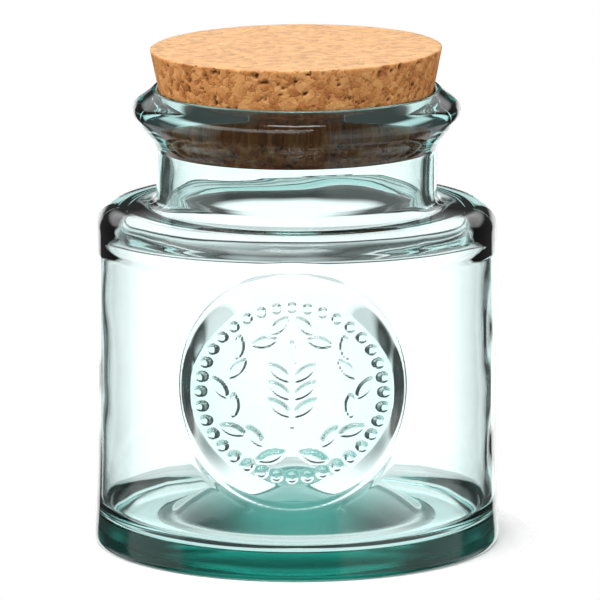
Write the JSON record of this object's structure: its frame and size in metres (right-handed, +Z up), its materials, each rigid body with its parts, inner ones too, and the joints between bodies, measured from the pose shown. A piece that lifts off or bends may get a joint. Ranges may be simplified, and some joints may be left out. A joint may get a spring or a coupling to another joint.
{
  "type": "lidded glass canister",
  "caption": "Squat round storage jar in thick pale green glass with a raised round seal, closed by a tapered cork stopper.",
  "frame": {"origin": "centre of the foot, on the surface the jar stands on", "axes": "+Z up along the jar's axis; the raised seal is on the front, which faces -Y; +X to the right of someone facing the seal"},
  "size_m": [0.1162, 0.1162, 0.1429],
  "materials": {
    "green_glass": "clear, fire polished, faintly wavy",
    "cork": "pressed cork granules, matt"
  },
  "bodies": {
    "jar": {"glass_jar": "green_glass"},
    "stopper": {"cork_stopper": "cork"}
  },
  "joints": [
    {"name": "stopper_lift", "type": "slide", "parent": "jar", "child": "stopper", "axis": [0, 0, 1], "range_m": [0, 0.045]}
  ]
}
